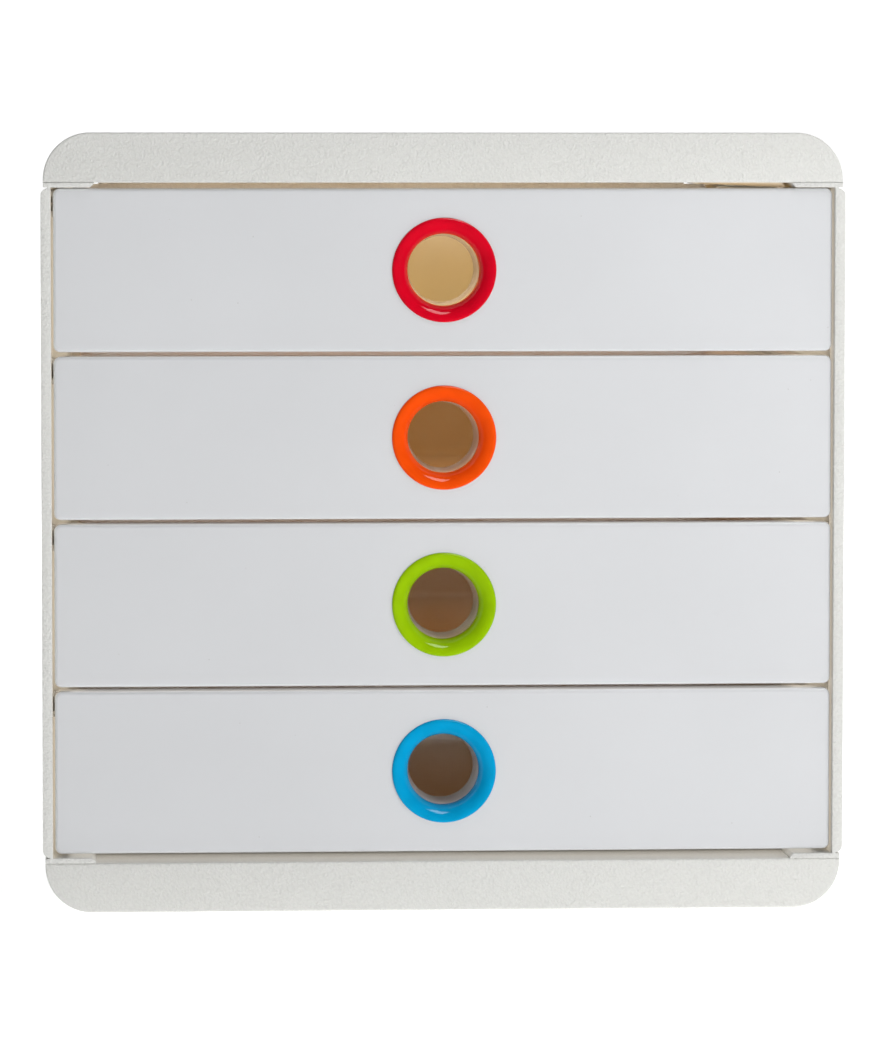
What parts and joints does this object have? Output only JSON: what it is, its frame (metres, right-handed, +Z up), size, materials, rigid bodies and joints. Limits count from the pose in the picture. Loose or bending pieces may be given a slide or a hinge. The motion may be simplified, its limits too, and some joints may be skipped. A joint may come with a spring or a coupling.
{
  "type": "plastic drawer tower",
  "caption": "Free-standing desktop drawer cabinet in white plastic with sliding trays, hollow gloss fronts and round coloured bell-mouth finger grips.",
  "frame": {"origin": "on the floor under the middle of the cabinet", "axes": "+Z up, drawers open towards -Y, +X to the right seen from the front"},
  "size_m": [0.3, 0.36, 0.2919],
  "materials": {
    "housing_white": "fine leather-like moulded grain, matte",
    "front_white": "polished",
    "tub_white": "satin, as moulded",
    "collar_white": "polished",
    "ring_red": "polished",
    "ring_orange": "polished",
    "ring_green": "polished",
    "ring_blue": "polished",
    "foot_rubber": "matte",
    "screw_steel": "zinc plated"
  },
  "bodies": {
    "housing": {"top_cover": "housing_white", "base_cover": "housing_white", "floor_panel": "housing_white", "left_side_panel": "housing_white", "right_side_panel": "housing_white", "rear_panel": "housing_white", "feet": "foot_rubber", "top_screws": "screw_steel", "base_screws": "screw_steel"},
    "drawer_1": {"drawer_1_tub": "tub_white", "drawer_1_front": "front_white", "drawer_1_ring": "ring_red", "drawer_1_collar": "collar_white"},
    "drawer_2": {"drawer_2_tub": "tub_white", "drawer_2_front": "front_white", "drawer_2_ring": "ring_orange", "drawer_2_collar": "collar_white"},
    "drawer_3": {"drawer_3_tub": "tub_white", "drawer_3_front": "front_white", "drawer_3_ring": "ring_green", "drawer_3_collar": "collar_white"},
    "drawer_4": {"drawer_4_tub": "tub_white", "drawer_4_front": "front_white", "drawer_4_ring": "ring_blue", "drawer_4_collar": "collar_white"}
  },
  "joints": [
    {"name": "drawer_1_slide", "type": "slide", "parent": "housing", "child": "drawer_1", "axis": [0, -1, 0], "range_m": [0, 0.2798]},
    {"name": "drawer_2_slide", "type": "slide", "parent": "housing", "child": "drawer_2", "axis": [0, -1, 0], "range_m": [0, 0.2798]},
    {"name": "drawer_3_slide", "type": "slide", "parent": "housing", "child": "drawer_3", "axis": [0, -1, 0], "range_m": [0, 0.2798]},
    {"name": "drawer_4_slide", "type": "slide", "parent": "housing", "child": "drawer_4", "axis": [0, -1, 0], "range_m": [0, 0.2798]}
  ]
}
